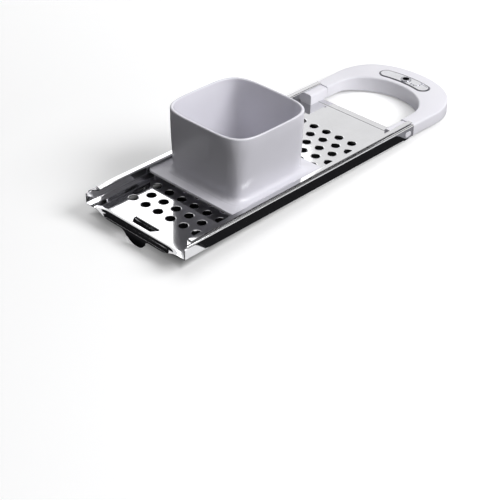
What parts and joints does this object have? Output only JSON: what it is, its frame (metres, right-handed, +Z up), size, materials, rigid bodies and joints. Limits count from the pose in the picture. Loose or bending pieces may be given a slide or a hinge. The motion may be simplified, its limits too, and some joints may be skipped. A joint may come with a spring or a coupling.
{
  "type": "spaetzle maker",
  "caption": "Sliding spaetzle maker: perforated steel tray with side channels and front rim hook, white square hopper on a flange, and white bow handle with a hanging ring.",
  "frame": {"origin": "middle of the base of the whole object's bounding box, at the height of the front tongue's tip", "axes": "+X along the tray from the front hook toward the handle, +Y to the left seen from the handle's side looking along +X, +Z up"},
  "size_m": [0.3404, 0.112, 0.0787],
  "materials": {
    "polished_steel": "mirror-polished stainless sheet",
    "hopper_plastic": "glossy, cool white",
    "handle_plastic": "satin gloss, cool white",
    "inlay_metal": "polished",
    "ring_metal": "polished"
  },
  "bodies": {
    "tray_body": {"tray": "polished_steel", "handle": "handle_plastic", "handle_inlay": "inlay_metal", "hanging_ring": "ring_metal"},
    "hopper_body": {"hopper": "hopper_plastic"}
  },
  "joints": [
    {"name": "hopper_slide", "type": "slide", "parent": "tray_body", "child": "hopper_body", "axis": [1, 0, 0], "range_m": [-0.047, 0.083]}
  ]
}
